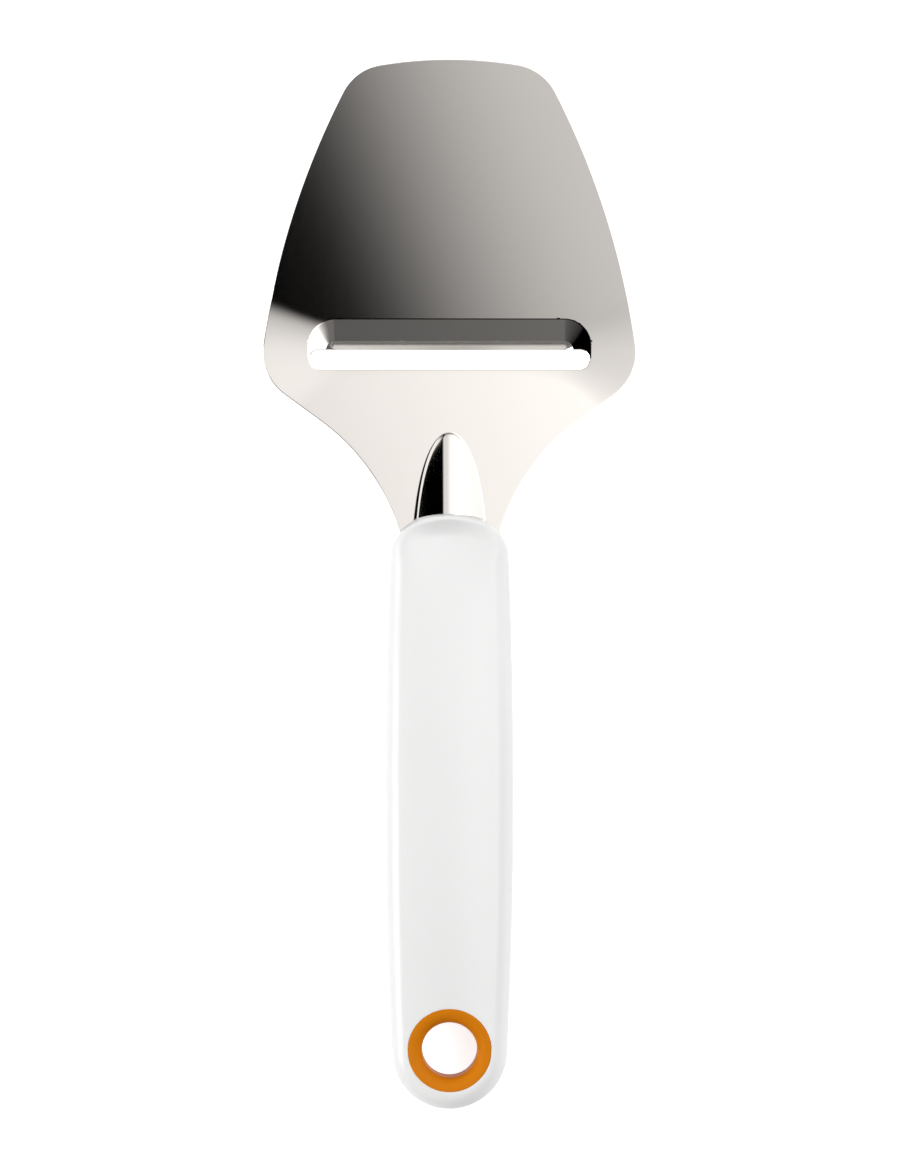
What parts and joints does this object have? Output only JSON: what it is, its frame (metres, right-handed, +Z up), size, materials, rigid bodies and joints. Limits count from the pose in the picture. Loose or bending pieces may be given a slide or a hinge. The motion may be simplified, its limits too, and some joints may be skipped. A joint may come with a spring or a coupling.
{
  "type": "cheese slicer",
  "caption": "Cheese slicer: bent steel plate with a pressed cutting lip above a slot, a raised rib, and an arched handle with a lined hanging hole.",
  "frame": {"origin": "centre of the bounding box at its foot, on the table that the slicer lies on", "axes": "+Y from the tail of the handle towards the tip of the paddle, +X across the plate, +Z up from the table"},
  "size_m": [0.0858, 0.24, 0.0189],
  "materials": {
    "steel": "fine satin stainless steel, ground bright at the cutting edge",
    "core": "rigid moulded plastic, hidden in the handle",
    "grip": "soft-gloss white moulded plastic",
    "ring": "satin orange moulded plastic"
  },
  "bodies": {
    "root": {"blade_plate": "steel", "handle_core": "core", "handle_grip": "grip", "hang_ring": "ring"}
  },
  "joints": []
}
